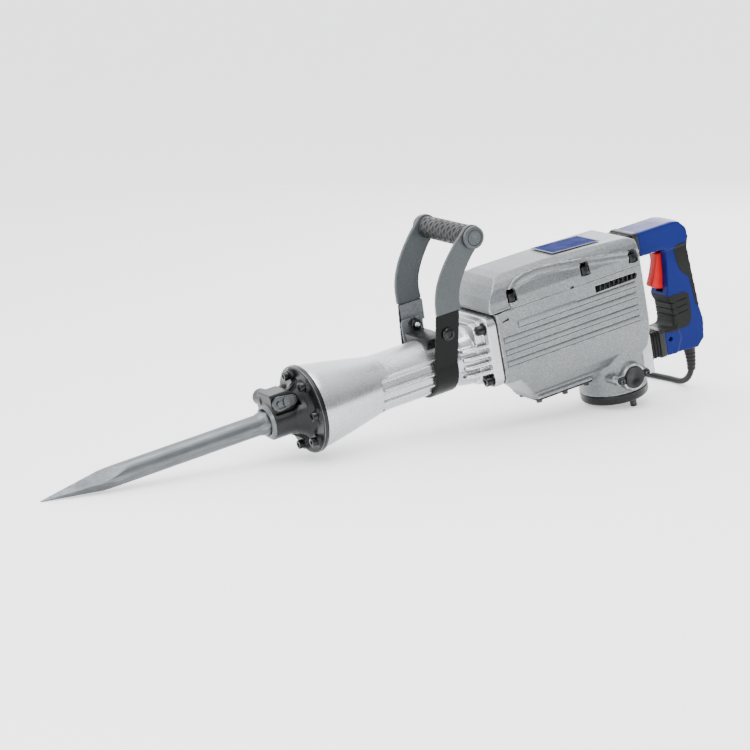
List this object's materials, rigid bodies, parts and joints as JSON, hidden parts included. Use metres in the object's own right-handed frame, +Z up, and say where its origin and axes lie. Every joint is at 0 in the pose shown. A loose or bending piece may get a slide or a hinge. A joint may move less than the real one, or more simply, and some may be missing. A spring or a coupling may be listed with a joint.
{
  "type": "electric jackhammer",
  "caption": "Electric demolition hammer with a bull point chisel, a swivelling side handle, a D-shaped rear handle with a trigger, and a coiled mains lead.",
  "frame": {"origin": "on the floor, at the middle of the tool's length and width; the tool lies on its chisel tip and motor cover bolts", "axes": "+X from the chisel towards the rear handle, +Y across the tool, +Z up; the striking axis rises 9.55 degrees from the chisel towards the rear"},
  "size_m": [1.0164, 0.2987, 0.2911],
  "materials": {
    "cast_silver": "sand-cast, silver lacquer",
    "black_cast": "black satin paint",
    "black_steel": "black oxide",
    "steel": "ground",
    "copper": "machined",
    "strap": "black powder coat",
    "sleeve": "matt, fine grain",
    "rubber": "moulded",
    "blue_plastic": "satin moulded",
    "red_plastic": "satin moulded",
    "black_plastic": "moulded",
    "white_plastic": "moulded",
    "bracket_grey": "silver lacquer",
    "cord_rubber": "extruded sheath",
    "carbon": "pressed carbon"
  },
  "bodies": {
    "housing": {"tool_holder": "black_cast", "cylinder_case": "cast_silver", "tool_sleeve": "steel", "damper_ring": "rubber", "cylinder_liner": "steel", "crank_bearing": "steel", "bearing_plate": "cast_silver", "field_stator": "steel", "upper_bearing": "steel", "left_brush_cap": "black_plastic", "right_brush_cap": "black_plastic", "left_brush_holder": "copper", "right_brush_holder": "copper", "left_carbon_brush": "carbon", "right_carbon_brush": "carbon", "main_housing": "cast_silver", "gear_cover": "cast_silver", "name_plate": "blue_plastic", "bottom_plate": "black_cast", "motor_cover": "black_cast", "motor_cover_bolt_left": "black_steel", "motor_cover_bolt_right": "black_steel", "rear_bracket": "bracket_grey", "upper_bellows": "rubber", "lower_bellows": "rubber"},
    "chisel": {"chisel": "steel"},
    "stop_lever": {"stop_lever": "steel"},
    "impact_bolt": {"impact_bolt": "steel"},
    "striker": {"striker": "steel"},
    "piston": {"piston": "steel", "wrist_pin": "steel"},
    "connecting_rod": {"connecting_rod": "steel"},
    "crankshaft": {"crankshaft": "steel", "crank_gear": "steel"},
    "idler_gear": {"idler_gear": "steel"},
    "armature": {"armature_shaft": "steel", "armature_core": "steel", "commutator": "copper", "cooling_fan": "black_plastic"},
    "side_handle": {"clamp_strap": "strap", "clamp_saddle": "strap", "tie_bolt": "black_steel", "left_arm": "sleeve", "right_arm": "sleeve", "left_end_cap": "sleeve", "right_end_cap": "sleeve", "side_grip": "rubber", "grip_rod": "steel"},
    "rear_handle": {"left_handle_shell": "blue_plastic", "right_handle_shell": "blue_plastic", "upper_collar": "rubber", "lower_collar": "rubber", "grip_pad": "rubber", "power_switch": "black_plastic", "cord_boot": "cord_rubber", "power_cord": "cord_rubber", "cord_coil": "cord_rubber", "plug": "cord_rubber"},
    "trigger": {"trigger": "red_plastic"},
    "lock_button": {"lock_button": "white_plastic"}
  },
  "joints": [
    {"name": "chisel_slide", "type": "slide", "parent": "housing", "child": "chisel", "axis": [0.9861, 0, 0.1659], "range_m": [-0.025, 0]},
    {"name": "stop_lever_turn", "type": "hinge", "parent": "housing", "child": "stop_lever", "pos_m": [-0.18433, 0, 0.08136], "axis": [0, -1, 0], "range_deg": [0, 180]},
    {"name": "impact_bolt_slide", "type": "slide", "parent": "housing", "child": "impact_bolt", "axis": [0.9861, 0, 0.1659], "range_m": [0, 0.006]},
    {"name": "striker_slide", "type": "slide", "parent": "housing", "child": "striker", "axis": [0.9861, 0, 0.1659], "range_m": [0, 0.03]},
    {"name": "piston_slide", "type": "slide", "parent": "housing", "child": "piston", "axis": [0.9861, 0, 0.1659], "range_m": [0, 0.032]},
    {"name": "rod_swing", "type": "hinge", "parent": "piston", "child": "connecting_rod", "pos_m": [0.0989, 0, 0.10366], "axis": [-0.1659, 0, 0.9861], "range_deg": [-7.6, 7.6]},
    {"name": "armature_spin", "type": "hinge", "parent": "housing", "child": "armature", "pos_m": [0.33754, 0, 0.14381], "axis": [-0.1659, 0, 0.9861], "continuous": true},
    {"name": "idler_spin", "type": "hinge", "parent": "housing", "child": "idler_gear", "pos_m": [0.28824, 0, 0.13551], "axis": [-0.1659, 0, 0.9861], "continuous": true},
    {"name": "crank_spin", "type": "hinge", "parent": "housing", "child": "crankshaft", "pos_m": [0.23301, 0, 0.12622], "axis": [-0.1659, 0, 0.9861], "continuous": true},
    {"name": "side_handle_swivel", "type": "hinge", "parent": "housing", "child": "side_handle", "pos_m": [0.05847, 0, 0.09686], "axis": [0.9861, 0, 0.1659], "range_deg": [-180, 180]},
    {"name": "rear_handle_damping", "type": "slide", "parent": "housing", "child": "rear_handle", "axis": [0.9861, 0, 0.1659], "range_m": [-0.004, 0.004], "stiffness_N_per_m": 20000},
    {"name": "trigger_pull", "type": "hinge", "parent": "rear_handle", "child": "trigger", "pos_m": [0.44069, 0, 0.20578], "axis": [0, -1, 0], "range_deg": [0, 8], "stiffness_Nm_per_rad": 1.5},
    {"name": "lock_button_push", "type": "slide", "parent": "rear_handle", "child": "lock_button", "axis": [0.9861, 0, 0.1659], "range_m": [0, 0.003], "stiffness_N_per_m": 300}
  ],
  "couplings": [
    {"joint": "idler_spin", "follows": "armature_spin", "ratio": -0.20513},
    {"joint": "crank_spin", "follows": "armature_spin", "ratio": 0.075047}
  ]
}
